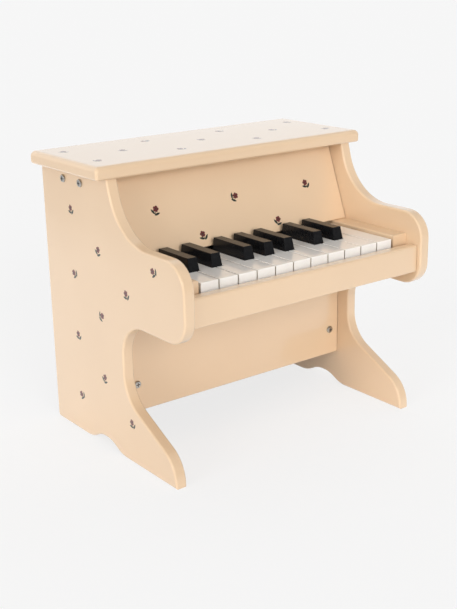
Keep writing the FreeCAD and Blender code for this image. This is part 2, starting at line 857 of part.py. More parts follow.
def make_slanted_strip(name, side, under, height):
    half = cell("bar_rail_width") / 2
    left_y = rail_line(side, -case_inner)
    right_y = rail_line(side, case_inner)
    body = doc.addObject("PartDesign::Body", name)
    plan = polygon(body, name + "_plan", "XY_Plane",
                   [(-case_inner, left_y - half), (case_inner, right_y - half),
                    (case_inner, right_y + half), (-case_inner, left_y + half)], lift=under)
    pad(body, name + "_strip", plan, height)
    return body


group("tone_bar_rails", [make_slanted_strip("bar_rail_%d" % side, side, bar_rail_under,
                                            cell("bar_rail_height")) for side in (0, 1)])
group("tone_bar_felts", [make_slanted_strip("bar_felt_%d" % side, side, bar_felt_under,
                                            cell("bar_felt_height")) for side in (0, 1)])


# Battens under the lid, cleats behind the lower panel, and the screws that show

batten_back = back_inner - cell("batten_back_gap")
batten_y = (batten_back - cell("batten_length"), batten_back)
batten_z = (lid_under - cell("batten_height"), lid_under)
batten_inner = case_inner - cell("batten_width")
group("lid_battens", [board("left_batten", (-case_inner, -batten_inner), batten_y, batten_z),
                      board("right_batten", (batten_inner, case_inner), batten_y, batten_z)])

cleat_y = (lower_back, lower_back + cell("cleat_depth"))
cleat_z = (lower_under + cell("cleat_end_gap"), bed_under)
cleat_inner = case_inner - cell("cleat_width")
group("lower_panel_cleats", [board("left_cleat", (-case_inner, -cleat_inner), cleat_y, cleat_z),
                             board("right_cleat", (cleat_inner, case_inner), cleat_y, cleat_z)])


def make_screw(name, grip, turn_axis, turn_angle, place):
    """A pan-head screw with a cross recess; its head rests at place and its shank runs inwards."""
    body = doc.addObject("PartDesign::Body", name)
    head_height = cell("screw_head_height")
    rim = ring(body, name + "_rim", "XY_Plane", cell("screw_head_radius"), (ZERO, ZERO))
    pad(body, name + "_head", rim, head_height)
    soften(body, name + "_crown", cell("screw_head_round"),
           lambda edge: lies_on(edge, {"z": head_height.value}))
    core = ring(body, name + "_core", "XY_Plane", cell("screw_shank_radius"), (ZERO, ZERO))
    pad(body, name + "_shank", core, grip + cell("screw_bite"), backwards=True)
    reach = cell("recess_length") / 2
    waist = cell("recess_width") / 2
    cross = [(waist, reach), (-waist, reach), (-waist, waist), (-reach, waist), (-reach, -waist),
             (-waist, -waist), (-waist, -reach), (waist, -reach), (waist, -waist), (reach, -waist),
             (reach, waist), (waist, waist)]
    recess = polygon(body, name + "_cross", "XY_Plane", cross, lift=head_height)
    doc.recompute()
    before = body.Shape.Volume
    pocket = body.newObject("PartDesign::Pocket", name + "_recess")
    pocket.Profile = recess
    bind(pocket, Length=cell("recess_depth"))
    doc.recompute()
    if body.Shape.Volume >= before:
        raise RuntimeError(name + " has no recess")
    body.Placement = FreeCAD.Placement(FreeCAD.Vector(), FreeCAD.Rotation(turn_axis, turn_angle))
    set_place(body, *place)
    return body


ACROSS = FreeCAD.Vector(0, 1, 0)
ALONG = FreeCAD.Vector(1, 0, 0)
cheek_screws = []
for side, turn, face in (("left", -90, -case_outer), ("right", 90, case_outer)):
    for number, place in enumerate(lid_screw_places):
        cheek_screws.append(make_screw("%s_screw_%d" % (side, number), cell("cheek_thickness"), ACROSS, turn,
                                       (face, place, lid_screw_z)))
group("cheek_screws", cheek_screws)
group("lower_panel_screws", [make_screw("panel_screw_%d" % number, cell("lower_panel_thickness"), ALONG, 90,
                                        (x, lower_front, panel_screw_z))
                             for number, x in enumerate((-panel_screw_x, panel_screw_x))])


# Check every object, then write one file for each sub-part

doc.recompute()
for item in doc.Objects:
    if "Invalid" in item.State or "Error" in item.State:
        raise RuntimeError("%s is %s" % (item.Label, item.State))
for label, item in pieces.items():
    if item.Shape.isNull() or not item.Shape.isValid():
        raise RuntimeError(label + " has no valid shape")

os.makedirs("parts", exist_ok=True)
for label, item in pieces.items():
    item.Shape.exportStep("parts/%s.step" % label)
print(len(pieces), "sub-parts, width", lid_half.value * 2, "depth", case_depth.value, "height", lid_top.value)
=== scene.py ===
"""Toy upright piano: the finish of every piece, the printed sprigs on its boards, and a plain studio."""
import json
import math

import bmesh
import bpy
from mathutils import Matrix, Vector
from mathutils.noise import noise as fibre_noise

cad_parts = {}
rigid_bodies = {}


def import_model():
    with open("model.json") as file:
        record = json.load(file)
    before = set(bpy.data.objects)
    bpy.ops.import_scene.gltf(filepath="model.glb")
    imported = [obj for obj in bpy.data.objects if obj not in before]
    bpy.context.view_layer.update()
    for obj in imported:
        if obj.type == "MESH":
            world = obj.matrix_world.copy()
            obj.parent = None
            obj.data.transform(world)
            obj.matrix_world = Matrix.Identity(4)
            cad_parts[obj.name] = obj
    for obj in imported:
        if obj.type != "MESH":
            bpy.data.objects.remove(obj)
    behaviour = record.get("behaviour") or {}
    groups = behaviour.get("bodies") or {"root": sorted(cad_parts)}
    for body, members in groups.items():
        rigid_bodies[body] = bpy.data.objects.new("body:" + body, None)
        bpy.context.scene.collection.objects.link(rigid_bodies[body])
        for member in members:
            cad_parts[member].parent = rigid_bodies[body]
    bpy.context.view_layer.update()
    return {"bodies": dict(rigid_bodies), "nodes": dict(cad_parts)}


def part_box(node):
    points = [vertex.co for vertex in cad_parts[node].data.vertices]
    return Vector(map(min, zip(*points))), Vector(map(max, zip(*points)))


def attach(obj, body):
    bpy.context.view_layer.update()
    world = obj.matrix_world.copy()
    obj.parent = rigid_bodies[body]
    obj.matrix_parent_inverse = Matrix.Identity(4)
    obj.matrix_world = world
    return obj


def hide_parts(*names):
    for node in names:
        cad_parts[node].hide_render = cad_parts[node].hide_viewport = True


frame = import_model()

# Cheeks: the two side boards that carry everything else.
# Each is sawn from fibreboard, rounded over along its edges and sprayed with a cream lacquer
# that flows out to a high gloss with a faint orange peel.

CREAM = (0.776, 0.561, 0.364, 1.0)
CREAM_PALE = (0.805, 0.590, 0.390, 1.0)
LACQUER_SMOOTH = 0.30
LACQUER_ROUGH = 0.36
LACQUER_CLOUDS_PER_METRE = 9.0
ORANGE_PEEL_PER_METRE = 420.0
ORANGE_PEEL_DEPTH = 0.000004
CLEAR_COAT_IOR = 1.5
CLEAR_COAT_ROUGHNESS = 0.05
CLOUD_LOW = 0.3
CLOUD_HIGH = 0.7


def new_finish(name):
    """A material with its tree, its shader and the piece's own coordinates."""
    material = bpy.data.materials.new(name)
    material.use_nodes = True
    tree = material.node_tree
    place = tree.nodes.new("ShaderNodeTexCoord").outputs["Object"]
    return material, tree, tree.nodes["Principled BSDF"], place


def set_shader(shader, **values):
    """Constants on the shader's own sockets, named with _ for a space."""
    for name, value in values.items():
        shader.inputs[name.replace("_", " ")].default_value = value


def noise(tree, place, per_metre, detail=2.0, stretch=(1.0, 1.0, 1.0)):
    """Clouds over the piece, drawn out along an axis by a small number in stretch."""
    mapping = tree.nodes.new("ShaderNodeMapping")
    mapping.inputs["Scale"].default_value = stretch
    clouds = tree.nodes.new("ShaderNodeTexNoise")
    clouds.inputs["Scale"].default_value = per_metre
    clouds.inputs["Detail"].default_value = detail
    tree.links.new(place, mapping.inputs["Vector"])
    tree.links.new(mapping.outputs["Vector"], clouds.inputs["Vector"])
    return clouds.outputs["Fac"]


def colour_between(tree, shader, value, dark, pale):
    """Colours the piece from dark to pale with a noise, and returns the ramp for more stops."""
    ramp = tree.nodes.new("ShaderNodeValToRGB")
    first, last = ramp.color_ramp.elements
    first.position, first.color = CLOUD_LOW, dark
    last.position, last.color = CLOUD_HIGH, pale
    tree.links.new(value, ramp.inputs["Fac"])
    tree.links.new(ramp.outputs["Color"], shader.inputs["Base Color"])
    return ramp.color_ramp


def map_range(tree, value, start, end, low, high, ease="SMOOTHSTEP"):
    """Carries a value that runs from start to end over to a run from low to high."""
    span = tree.nodes.new("ShaderNodeMapRange")
    span.interpolation_type = ease
    for name, number in (("From Min", start), ("From Max", end), ("To Min", low), ("To Max", high)):
        span.inputs[name].default_value = number
    tree.links.new(value, span.inputs["Value"])
    return span.outputs["Result"]


def roughness_between(tree, shader, value, smooth, rough):
    """Lets the gloss vary with a noise."""
    gloss = map_range(tree, value, CLOUD_LOW, CLOUD_HIGH, smooth, rough, ease="LINEAR")
    tree.links.new(gloss, shader.inputs["Roughness"])


def relief(tree, shader, value, depth):
    """Raises the surface by a noise."""
    bump = tree.nodes.new("ShaderNodeBump")
    bump.inputs["Distance"].default_value = depth
    tree.links.new(value, bump.inputs["Height"])
    tree.links.new(bump.outputs["Normal"], shader.inputs["Normal"])


def clear_coat(shader):
    """The clear gloss over a sprayed or printed colour."""
    set_shader(shader, IOR=CLEAR_COAT_IOR, Coat_Weight=1.0, Coat_Roughness=CLEAR_COAT_ROUGHNESS,
               Coat_IOR=CLEAR_COAT_IOR)


def dress(material, *names):
    """Gives CAD nodes their finish."""
    for name in names:
        frame["nodes"][name].material_slots[0].material = material


def make_cream_lacquer():
    material, tree, shader, place = new_finish("cream_lacquer_gloss")
    clouds = noise(tree, place, LACQUER_CLOUDS_PER_METRE)
    colour_between(tree, shader, clouds, CREAM, CREAM_PALE)
    roughness_between(tree, shader, clouds, LACQUER_SMOOTH, LACQUER_ROUGH)
    relief(tree, shader, noise(tree, place, ORANGE_PEEL_PER_METRE), ORANGE_PEEL_DEPTH)
    clear_coat(shader)
    return material


cream_lacquer = make_cream_lacquer()
dress(cream_lacquer, "left_cheek", "right_cheek")

# Printed sprigs: small blossoms with two leaves, screened on to the flat of the boards in two inks
# under the clear coat. They stand in a half-drop repeat, each turned a little from the next,
# and only where a whole sprig fits on the flat, clear of edges and screws.

PETAL_COUNT = 5
PETAL_RADIUS = 0.00150
PETAL_REACH = 0.00195
EYE_RADIUS = 0.0009
BLOSSOM_RISE = 0.0020
STEM_LENGTH = 0.0068
STEM_WIDTH = 0.0007
STEM_TURN = 6.0
STEM_SHIFT = 0.0002
LEAF_LENGTH = 0.0058
LEAF_WIDTH = 0.0025
LEAF_TIP = 0.0008
LEAVES = ((-0.0026, -0.0019, 58.0), (0.0027, -0.0028, -52.0))
DOT_SIDES = 12
SPRIG_CLEAR = 0.010
SPRIG_CLEAR_POINTS = 8
SPRIG_TURN = 24.0
COLUMN_TURN = 40.0
REPEAT_ACROSS = 0.050
REPEAT_UP = 0.068
LOOK_FROM = 0.02
FLAT_ENOUGH = 0.999
INK_THICKNESS = 0.00011
INK_BITE = 0.00008
INK_LAYER = 0.00001
INK_SCREEN_PER_METRE = 2200.0
INK_SMOOTH = 0.34
INK_ROUGH = 0.46
BLOSSOM_DARK = (0.085, 0.004, 0.006, 1.0)
BLOSSOM_PALE = (0.160, 0.012, 0.014, 1.0)
LEAF_DARK = (0.006, 0.010, 0.005, 1.0)
LEAF_PALE = (0.014, 0.022, 0.010, 1.0)
BLOSSOM_INK, LEAF_INK = 0, 1
CHEEK_PRINT_DEPTH = 0.020
CHEEK_PRINT_HEIGHT = 0.145
CHEEK_PRINT_HALF = 0.150


def make_ink(name, dark, pale):
    material, tree, shader, place = new_finish(name)
    screen = noise(tree, place, INK_SCREEN_PER_METRE, detail=3.0)
    colour_between(tree, shader, screen, dark, pale)
    roughness_between(tree, shader, screen, INK_SMOOTH, INK_ROUGH)
    clear_coat(shader)
    return material


inks = [make_ink("blossom_ink", BLOSSOM_DARK, BLOSSOM_PALE), make_ink("leaf_ink", LEAF_DARK, LEAF_PALE)]


def add_dot(shape, radius_across, radius_up, turn, middle, ink, layer=0):
    """A flat round or oval patch of one ink."""
    made = bmesh.ops.create_circle(shape, cap_ends=True, segments=DOT_SIDES, radius=1.0)["verts"]
    bmesh.ops.scale(shape, vec=(radius_across, radius_up, 1.0), verts=made)
    bmesh.ops.rotate(shape, matrix=Matrix.Rotation(math.radians(turn), 3, "Z"), verts=made)
    bmesh.ops.translate(shape, vec=(middle[0], middle[1], INK_LAYER * layer), verts=made)
    for face in {face for vertex in made for face in vertex.link_faces}:
        face.material_index = ink
    return made


def add_leaf(shape, across, up, turn):
    """An oval patch drawn out to a tip at each end."""
    made = add_dot(shape, LEAF_WIDTH / 2, LEAF_LENGTH / 2, 0.0, (0.0, 0.0), LEAF_INK)
    ends = sorted(made, key=lambda vertex: vertex.co.y)
    bmesh.ops.translate(shape, vec=(0.0, -LEAF_TIP, 0.0), verts=ends[:1])
    bmesh.ops.translate(shape, vec=(0.0, LEAF_TIP, 0.0), verts=ends[-1:])
    bmesh.ops.rotate(shape, matrix=Matrix.Rotation(math.radians(turn), 3, "Z"), verts=made)
    bmesh.ops.translate(shape, vec=(across, up, 0.0), verts=made)


def add_sprig(shape, place):
    """One sprig, drawn flat and then laid on the board."""
    older = set(shape.verts)
    stem_middle = (STEM_SHIFT, BLOSSOM_RISE - STEM_LENGTH / 2)
    add_dot(shape, STEM_WIDTH / 2, STEM_LENGTH / 2, STEM_TURN, stem_middle, LEAF_INK)
    for across, up, turn in LEAVES:
        add_leaf(shape, across, up, turn)
    for petal in range(PETAL_COUNT):
        angle = math.tau * petal / PETAL_COUNT
        middle = (PETAL_REACH * math.sin(angle), BLOSSOM_RISE + PETAL_REACH * math.cos(angle))
        add_dot(shape, PETAL_RADIUS, PETAL_RADIUS, 0.0, middle, BLOSSOM_INK, layer=petal + 1)
    eye_middle = (0.0, BLOSSOM_RISE)
    add_dot(shape, EYE_RADIUS, EYE_RADIUS, 0.0, eye_middle, LEAF_INK, layer=PETAL_COUNT + 1)
    newer = [vertex for vertex in shape.verts if vertex not in older]
    bmesh.ops.transform(shape, matrix=place, verts=newer)


def flat_here(boards, point, outward):
    """Height of a board's surface under a point, or None off its flat or on something else."""
    heights = []
    for name in boards:
        found, spot, facing, _ = frame["nodes"][name].ray_cast(point + outward * LOOK_FROM, -outward)
        flat = found and facing.dot(outward) > FLAT_ENOUGH
        heights.append((spot - point).dot(outward) if flat else None)
    if heights[0] is None or any(height is not None for height in heights[1:]):
        return None
    return heights[0]


def print_sprigs(name, board, middle, across, up, half_width, half_height, clear_of=()):
    """Sprigs over a board's flat face, from its middle outwards, wherever a whole one fits."""
    outward = across.cross(up)
    shape = bmesh.new()
    columns = int(half_width / REPEAT_ACROSS)
    rows = int(half_height / REPEAT_UP) + 1
    for column in range(-columns, columns + 1):
        for row in range(-rows, rows + 1):
            rise = REPEAT_UP * (row + 0.5 * (column % 2))
            point = middle + across * (REPEAT_ACROSS * column) + up * rise
            ring = [point]
            for step in range(SPRIG_CLEAR_POINTS):
                angle = math.tau * step / SPRIG_CLEAR_POINTS
                ring.append(point + (across * math.sin(angle) + up * math.cos(angle)) * SPRIG_CLEAR)
            heights = [flat_here([board, *clear_of], spot, outward) for spot in ring]
            if None in heights or max(heights) - min(heights) > INK_THICKNESS:
                continue
            turn = SPRIG_TURN * (1 if (column + row) % 2 else -1) + COLUMN_TURN * (column % 3 - 1)
            lay = Matrix((across, up, outward)).transposed().to_4x4()
            seat = Matrix.Translation(point + outward * (heights[0] - INK_BITE))
            add_sprig(shape, seat @ lay @ Matrix.Rotation(math.radians(turn), 4, "Z"))
    raised = bmesh.ops.extrude_face_region(shape, geom=shape.faces[:], use_keep_orig=True)
    lifted = [item for item in raised["geom"] if isinstance(item, bmesh.types.BMVert)]
    bmesh.ops.translate(shape, vec=outward * INK_THICKNESS, verts=lifted)
    bmesh.ops.recalc_face_normals(shape, faces=shape.faces[:])
    mesh = bpy.data.meshes.new(name)
    shape.to_mesh(mesh)
    shape.free()
    for ink in inks:
        mesh.materials.append(ink)
    piece = bpy.data.objects.new(name, mesh)
    bpy.context.scene.collection.objects.link(piece)
    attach(piece, "cabinet")


left_face = Vector((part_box("left_cheek")[0][0], CHEEK_PRINT_DEPTH, CHEEK_PRINT_HEIGHT))
right_face = Vector((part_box("right_cheek")[1][0], CHEEK_PRINT_DEPTH, CHEEK_PRINT_HEIGHT))
print_sprigs("print_left_cheek", "left_cheek", left_face, Vector((0, -1, 0)), Vector((0, 0, 1)),
             CHEEK_PRINT_HALF, CHEEK_PRINT_HALF, clear_of=["cheek_screws"])
print_sprigs("print_right_cheek", "right_cheek", right_face, Vector((0, 1, 0)), Vector((0, 0, 1)),
             CHEEK_PRINT_HALF, CHEEK_PRINT_HALF, clear_of=["cheek_screws"])

# Lower panel: an upright board under the keyboard, lacquered like the cheeks.
# Two bright pan-head screws pull it on to cleats of planed softwood glued inside the cheeks.

PLANED_DARK = (0.42, 0.26, 0.13, 1.0)
PLANED_PALE = (0.62, 0.42, 0.24, 1.0)
PLANED_SMOOTH = 0.55
PLANED_ROUGH = 0.72
GRAIN_PER_METRE = 260.0
GRAIN_ALONG = 0.06
GRAIN_DEPTH = 0.0001
NICKEL = (0.46, 0.45, 0.43, 1.0)
NICKEL_SMOOTH = 0.16
NICKEL_ROUGH = 0.30
NICKEL_WEAR_PER_METRE = 900.0
NICKEL_WEAR_DEPTH = 0.000004


def drawn_out(along, amount):
    """The stretch of a noise whose streaks run along one axis."""
    return tuple(amount if axis == along else 1.0 for axis in "xyz")


def make_planed_wood(along):
    """Unpainted softwood whose grain runs along one axis."""
    material, tree, shader, place = new_finish("planed_wood_along_" + along)
    grain = noise(tree, place, GRAIN_PER_METRE, detail=4.0, stretch=drawn_out(along, GRAIN_ALONG))
    colour_between(tree, shader, grain, PLANED_DARK, PLANED_PALE)
    roughness_between(tree, shader, grain, PLANED_SMOOTH, PLANED_ROUGH)
    relief(tree, shader, grain, GRAIN_DEPTH)
    return material


def make_nickel():
    """Bright plating, rubbed a little by the driver."""
    material, tree, shader, place = new_finish("nickel_plate")
    wear = noise(tree, place, NICKEL_WEAR_PER_METRE, detail=3.0)
    roughness_between(tree, shader, wear, NICKEL_SMOOTH, NICKEL_ROUGH)
    relief(tree, shader, wear, NICKEL_WEAR_DEPTH)
    set_shader(shader, Base_Color=NICKEL, Metallic=1.0)
    return material


wood_along_x = make_planed_wood("x")
wood_along_y = make_planed_wood("y")
wood_along_z = make_planed_wood("z")
nickel = make_nickel()
dress(cream_lacquer, "lower_front_panel")
dress(wood_along_z, "lower_panel_cleats")
dress(nickel, "lower_panel_screws")

# Back panel: a thin sheet of fibreboard that closes the case behind.
# It is let in between the cheeks and left unpainted, so its fine brown fibres show.

FIBRE_DARK = (0.24, 0.14, 0.07, 1.0)
FIBRE_PALE = (0.42, 0.27, 0.15, 1.0)
FIBRE_SMOOTH = 0.70
FIBRE_ROUGH = 0.85
FIBRES_PER_METRE = 700.0
FIBRE_DEPTH = 0.00008


def make_fibreboard():
    material, tree, shader, place = new_finish("fibreboard")
    fibres = noise(tree, place, FIBRES_PER_METRE, detail=6.0)
    colour_between(tree, shader, fibres, FIBRE_DARK, FIBRE_PALE)
    roughness_between(tree, shader, fibres, FIBRE_SMOOTH, FIBRE_ROUGH)
    relief(tree, shader, fibres, FIBRE_DEPTH)
    return material


dress(make_fibreboard(), "back_panel")

# Key bed and key slip: the bed is a bare board between the cheeks that carries the keyboard,
# with a rail across it for the tails of the keys. The slip, lacquered cream, closes its front edge.

dress(wood_along_x, "key_bed", "key_rest_rail")
dress(cream_lacquer, "key_slip")

# Key blocks and rod: two lacquered blocks that stand on the bed beside the end keys.
# They hold the drawn steel rod that all the keys turn on.

STEEL = (0.50, 0.50, 0.50, 1.0)
ROD_ROUGHNESS = 0.30
STEEL_ROUGHNESS_SWING = 0.3
DRAWN_LINES_PER_METRE = 1500.0
DRAWN_LINES_ALONG = 0.02
DRAWN_LINES_DEPTH = 0.00001


def make_drawn_steel(name, colour, along, rough):
    """Steel with the fine lines of drawing or grinding along one axis."""
    material, tree, shader, place = new_finish(name)
    lines = noise(tree, place, DRAWN_LINES_PER_METRE, detail=3.0,
                  stretch=drawn_out(along, DRAWN_LINES_ALONG))
    swing = rough * STEEL_ROUGHNESS_SWING
    roughness_between(tree, shader, lines, rough - swing, rough + swing)
    relief(tree, shader, lines, DRAWN_LINES_DEPTH)
    set_shader(shader, Base_Color=colour, Metallic=1.0)
    return material


dress(cream_lacquer, "key_blocks")
rod_steel = make_drawn_steel("rod_steel", STEEL, "x", ROD_ROUGHNESS)
dress(rod_steel, "key_rod")

# Felts under the keys: strips of pressed red wool that quieten the keys.
# One lies under their fronts and one under their tails, both glued down, with soft edges
# and a top that is pressed a little unevenly.

FELT_DARK = (0.16, 0.012, 0.014, 1.0)
FELT_PALE = (0.30, 0.030, 0.030, 1.0)
FELT_ROUGHNESS = 0.95
FELT_SHEEN = 0.5
FELT_WOOL_PER_METRE = 1800.0
FELT_WOOL_DEPTH = 0.0003
FELT_ROUND = 0.0007
FELT_DENT = 0.00015
FELT_LUMPS_PER_METRE = 140.0
FELT_LONG = 0.1
FELT_CUTS = 80
FELT_SAME_POINT = 0.000001
FELT_SAME_PLANE = 0.01


def make_felt():
    material, tree, shader, place = new_finish("red_felt")
    wool = noise(tree, place, FELT_WOOL_PER_METRE, detail=5.0)
    colour_between(tree, shader, wool, FELT_DARK, FELT_PALE)
    relief(tree, shader, wool, FELT_WOOL_DEPTH)
    set_shader(shader, Roughness=FELT_ROUGHNESS, Sheen_Weight=FELT_SHEEN)
    return material


def lay_felt(node):
    """A soft-edged strip in the place of a plain one, its top pressed a little unevenly."""
    shape = bmesh.new()
    shape.from_mesh(frame["nodes"][node].data)
    bmesh.ops.remove_doubles(shape, verts=shape.verts[:], dist=FELT_SAME_POINT)
    bmesh.ops.dissolve_limit(shape, angle_limit=FELT_SAME_PLANE, verts=shape.verts[:], edges=shape.edges[:])
    top = max(vertex.co.z for vertex in shape.verts)
    bmesh.ops.bevel(shape, geom=shape.edges[:], offset=FELT_ROUND, segments=3, profile=0.5, material=-1,
                    affect="EDGES", clamp_overlap=True)
    long_edges = [edge for edge in shape.edges if edge.calc_length() > FELT_LONG]
    bmesh.ops.subdivide_edges(shape, edges=long_edges, cuts=FELT_CUTS, use_grid_fill=True)
    for vertex in shape.verts:
        if vertex.co.z > top - FELT_ROUND:
            vertex.co.z -= FELT_DENT * (0.5 + 0.5 * fibre_noise(vertex.co * FELT_LUMPS_PER_METRE))
    mesh = bpy.data.meshes.new("soft_" + node)
    shape.to_mesh(mesh)
    shape.free()
    mesh.shade_smooth()
    mesh.materials.append(felt)
    strip = bpy.data.objects.new("soft_" + node, mesh)
    bpy.context.scene.collection.objects.link(strip)
    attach(strip, "cabinet")
    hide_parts(node)


felt = make_felt()
lay_felt("key_stop_felt")
lay_felt("key_rest_felt")

# Return springs: one comb stamped from blued spring steel and fixed to the key bed.
# A finger of it bears on each lever and lifts the key again.

BLUED = (0.22, 0.23, 0.27, 1.0)
BLUED_ROUGHNESS = 0.35
dress(make_drawn_steel("blued_spring_steel", BLUED, "y", BLUED_ROUGHNESS), "key_spring_comb")

# White keys: wooden levers with softened edges, turning on the key rod.
# They are sprayed gloss white on the top, front and ends. The sides that face
# a neighbour carry a darker tone, a painted shade that darkens the gaps between keys.

KEY_WHITE = (0.962, 0.940, 0.900, 1.0)
KEY_WHITE_PALE = (0.975, 0.955, 0.920, 1.0)
KEY_WHITE_SMOOTH = 0.28
KEY_WHITE_ROUGH = 0.38
SIDE_PAINTED_SHADE = (0.74, 0.69, 0.61, 1.0)
SIDE_SHADE_FROM = 0.90
SIDE_SHADE_FULLY = 0.98
PAINT_UP_TO = 0.86
SIDE_SHADE_BEYOND = 0.94
STROKES_PER_METRE = 220.0
STROKES_ALONG = 0.08
STROKES_DEPTH = 0.000006


def axis_of(tree, vector, axis):
    parts = tree.nodes.new("ShaderNodeSeparateXYZ")
    tree.links.new(vector, parts.inputs["Vector"])
    return parts.outputs[axis]


def arithmetic(tree, operation, first, second=0.0):
    """A sum, product or the like of sockets and numbers."""
    node = tree.nodes.new("ShaderNodeMath")
    node.operation = operation
    for socket, value in zip(node.inputs, (first, second)):
        if isinstance(value, float):
            socket.default_value = value
        else:
            tree.links.new(value, socket)
    return node.outputs["Value"]


def make_white_key_paint():
    """White paint, with a ramp that ends in a darker painted shade on the levers' sides."""
    material, tree, shader, place = new_finish("white_key_gloss")
    strokes = noise(tree, place, STROKES_PER_METRE, detail=3.0, stretch=drawn_out("y", STROKES_ALONG))
    # Faces turned along X, the sides between keys, get a darker painted shade instead of white.
    facing = tree.nodes.new("ShaderNodeTexCoord").outputs["Normal"]
    sideways = arithmetic(tree, "ABSOLUTE", axis_of(tree, facing, "X"))
    side_shade = map_range(tree, sideways, SIDE_SHADE_FROM, SIDE_SHADE_FULLY, 0.0, 1.0)
    strokes_and_side_shade = arithmetic(tree, "MAXIMUM", strokes, side_shade)
    paint = colour_between(tree, shader, strokes_and_side_shade, KEY_WHITE, KEY_WHITE_PALE)
    paint.elements.new(PAINT_UP_TO).color = KEY_WHITE_PALE
    paint.elements.new(SIDE_SHADE_BEYOND).color = SIDE_PAINTED_SHADE
    roughness_between(tree, shader, strokes, KEY_WHITE_SMOOTH, KEY_WHITE_ROUGH)
    relief(tree, shader, strokes, STROKES_DEPTH)
    clear_coat(shader)
    return material


def keys_of(colour):
    return [name for name in frame["nodes"] if name.startswith(colour + "_key_")]


dress(make_white_key_paint(), *keys_of("white"))

# Black keys: the same levers with narrow caps that taper towards the top and the front.
# They are sprayed gloss black over the wood, with a little dust in the paint.

KEY_BLACK = (0.006, 0.006, 0.007, 1.0)
KEY_BLACK_PALE = (0.011, 0.011, 0.012, 1.0)
KEY_BLACK_SMOOTH = 0.16
KEY_BLACK_ROUGH = 0.24
KEY_BLACK_IOR = 1.26
KEY_BLACK_COAT = 0.05
KEY_BLACK_COAT_ROUGHNESS = 0.08
DUST_PER_METRE = 380.0
DUST_DEPTH = 0.000003


def make_black_key_paint():
    material, tree, shader, place = new_finish("black_key_gloss")
    dust = noise(tree, place, DUST_PER_METRE, detail=4.0)
    colour_between(tree, shader, dust, KEY_BLACK, KEY_BLACK_PALE)
    roughness_between(tree, shader, dust, KEY_BLACK_SMOOTH, KEY_BLACK_ROUGH)
    relief(tree, shader, dust, DUST_DEPTH)
    set_shader(shader, IOR=KEY_BLACK_IOR, Coat_Weight=KEY_BLACK_COAT,
               Coat_Roughness=KEY_BLACK_COAT_ROUGHNESS)
    return material


dress(make_black_key_paint(), *keys_of("black"))

# Hammers: eighteen levers moulded in dark plastic with a fine matt skin.
# They turn on a steel rod of their own, which two wooden blocks hold at its ends.

MOULDED_DARK = (0.035, 0.035, 0.038, 1.0)
MOULDED_PALE = (0.060, 0.060, 0.064, 1.0)
MOULDED_SMOOTH = 0.40
MOULDED_ROUGH = 0.55
SKIN_PER_METRE = 1200.0
SKIN_DEPTH = 0.00002


def make_moulded_plastic():
    material, tree, shader, place = new_finish("moulded_hammer_plastic")
    skin = noise(tree, place, SKIN_PER_METRE, detail=3.0)
    colour_between(tree, shader, skin, MOULDED_DARK, MOULDED_PALE)
    roughness_between(tree, shader, skin, MOULDED_SMOOTH, MOULDED_ROUGH)
    relief(tree, shader, skin, SKIN_DEPTH)
    return material


dress(make_moulded_plastic(), *[name for name in frame["bodies"] if name.startswith("hammer_")])
dress(rod_steel, "hammer_rod")
dress(wood_along_z, "hammer_blocks")

# Tone bars: flat steel bars of graded length, ground bright, that ring when a hammer strikes.
# Each is pinned loosely at its two still points, over two felted wooden rails.

BAR_STEEL = (0.58, 0.58, 0.59, 1.0)
BAR_ROUGHNESS = 0.22
dress(make_drawn_steel("ground_bar_steel", BAR_STEEL, "y", BAR_ROUGHNESS), "tone_bars")
dress(rod_steel, "tone_bar_pins")
dress(wood_along_x, "tone_bar_rails")
lay_felt("tone_bar_felts")

# Upper panel: the sloping board behind the keys, cut to stand between the cheeks.
# It is lacquered like them and printed with a few sprigs.

PANEL_SLOPE_BACK = 0.0317
PANEL_SLOPE_RISE = 0.0835
PANEL_PRINT_RISE = 0.046
PANEL_PRINT_HALF_WIDTH = 0.147
PANEL_PRINT_HALF_HEIGHT = 0.045

dress(cream_lacquer, "upper_front_panel")
panel_lean = math.atan2(PANEL_SLOPE_BACK, PANEL_SLOPE_RISE)
panel_up = Vector((0, math.sin(panel_lean), math.cos(panel_lean)))
panel_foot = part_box("upper_front_panel")[0]
panel_middle = Vector((0.0, panel_foot[1], panel_foot[2])) + panel_up * PANEL_PRINT_RISE
print_sprigs("print_upper_panel", "upper_front_panel", panel_middle, Vector((1, 0, 0)), panel_up,
             PANEL_PRINT_HALF_WIDTH, PANEL_PRINT_HALF_HEIGHT)

# Lid: a flat board with rounded edges that oversails the case, lacquered and printed like the cheeks.
# Two battens are glued under it, and screws go through the cheeks into them.

LID_PRINT_HALF_WIDTH = 0.172
LID_PRINT_HALF_DEPTH = 0.068

dress(wood_along_y, "lid_battens")
dress(cream_lacquer, "lid")
lid_low, lid_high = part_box("lid")
lid_middle = Vector((0.0, (lid_low[1] + lid_high[1]) / 2, lid_high[2]))
print_sprigs("print_lid", "lid", lid_middle, Vector((1, 0, 0)), Vector((0, 1, 0)),
             LID_PRINT_HALF_WIDTH, LID_PRINT_HALF_DEPTH)
dress(nickel, "cheek_screws")

# Table: a broad matt white top that the piano stands on.
# The camera sees it as the pale tone of the background with the piano's soft shadow, and the lacquer
# mirrors a dimmer white, which ends at the table's left and front edges.

BACKGROUND = 0.913
WHITE = (1.0, 1.0, 1.0, 1.0)
TABLE_HALF_SIZE = 40.0
TABLE_ROUGHNESS = 0.9
TABLE_WHITE = 0.82
TABLE_SHOWN = 0.20
TABLE_DAYLIGHT = 0.78
TABLE_SHINE = 0.42
TABLE_LEFT_EDGE = -0.60
TABLE_FRONT_EDGE = -0.66
TABLE_EDGE_BLUR = 0.12


def table_edge(tree, place, axis, edge, shine):
    """Shine that starts at an edge of the table."""
    across = axis_of(tree, place, axis)
    return map_range(tree, across, edge - TABLE_EDGE_BLUR, edge + TABLE_EDGE_BLUR, 0.0, shine)


def mirrored_rays(tree, path):
    return arithmetic(tree, "MAXIMUM", path.outputs["Is Glossy Ray"], path.outputs["Is Transmission Ray"])


